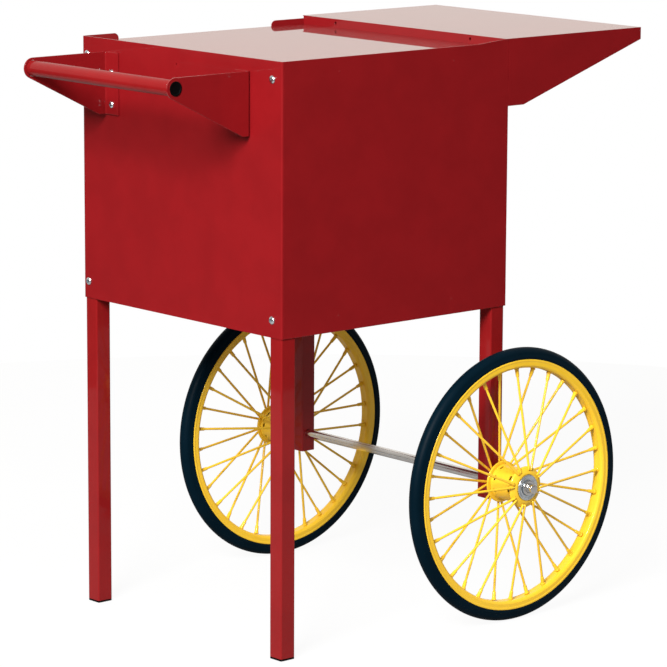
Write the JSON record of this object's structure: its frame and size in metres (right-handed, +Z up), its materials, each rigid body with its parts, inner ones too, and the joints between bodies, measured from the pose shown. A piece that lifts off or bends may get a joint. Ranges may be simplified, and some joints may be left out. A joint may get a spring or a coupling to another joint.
{
  "type": "popcorn cart",
  "caption": "Sheet-metal popcorn cart with a closed red cabinet, push handle, folded wedge shelf and two large yellow spoked wheels on a through axle.",
  "frame": {"origin": "on the floor, under the centre of the overall box", "axes": "+Z up; +X from the push handle towards the shelf and wheels; -Y is the closed side and +Y the open storage side"},
  "size_m": [0.954, 0.69, 0.96],
  "materials": {
    "red_paint": "gloss powder coat",
    "yellow_paint": "gloss paint",
    "tyre_rubber": "smooth solid rubber",
    "bright_steel": "bright drawn bar",
    "zinc": "bright zinc plate",
    "black_plastic": "moulded"
  },
  "bodies": {
    "cart": {"handle_end_panel": "red_paint", "shelf_end_panel": "red_paint", "near_side_panel": "red_paint", "far_side_panel": "red_paint", "top_deck": "red_paint", "floor_pan": "red_paint", "handle_tube": "red_paint", "side_shelf": "red_paint", "axle": "bright_steel", "near_long_leg": "red_paint", "near_short_leg": "red_paint", "near_foot_cap": "black_plastic", "near_handle_bracket": "red_paint", "near_handle_plug": "black_plastic", "near_axle_spacer": "bright_steel", "near_axle_washer": "bright_steel", "near_split_pin": "bright_steel", "near_lower_panel_screw": "zinc", "near_lower_bracket_screw": "zinc", "near_lower_shelf_bolt": "zinc", "near_upper_panel_screw": "zinc", "near_upper_bracket_screw": "zinc", "near_upper_shelf_bolt": "zinc", "far_long_leg": "red_paint", "far_short_leg": "red_paint", "far_foot_cap": "black_plastic", "far_handle_bracket": "red_paint", "far_handle_plug": "black_plastic", "far_axle_spacer": "bright_steel", "far_axle_washer": "bright_steel", "far_split_pin": "bright_steel", "far_lower_panel_screw": "zinc", "far_lower_bracket_screw": "zinc", "far_lower_shelf_bolt": "zinc", "far_upper_panel_screw": "zinc", "far_upper_bracket_screw": "zinc", "far_upper_shelf_bolt": "zinc"},
    "near_wheel": {"near_wheel_tyre": "tyre_rubber", "near_wheel_rim": "yellow_paint", "near_wheel_hub_barrel": "yellow_paint", "near_wheel_outer_spokes": "yellow_paint", "near_wheel_inner_spokes": "yellow_paint", "near_wheel_outer_bearing": "zinc", "near_wheel_inner_bearing": "zinc"},
    "far_wheel": {"far_wheel_tyre": "tyre_rubber", "far_wheel_rim": "yellow_paint", "far_wheel_hub_barrel": "yellow_paint", "far_wheel_outer_spokes": "yellow_paint", "far_wheel_inner_spokes": "yellow_paint", "far_wheel_outer_bearing": "zinc", "far_wheel_inner_bearing": "zinc"}
  },
  "joints": [
    {"name": "near_wheel_spin", "type": "hinge", "parent": "cart", "child": "near_wheel", "pos_m": [0.155, -0.2955, 0.2286], "axis": [0, 1, 0], "continuous": true},
    {"name": "far_wheel_spin", "type": "hinge", "parent": "cart", "child": "far_wheel", "pos_m": [0.155, 0.2955, 0.2286], "axis": [0, 1, 0], "continuous": true}
  ]
}
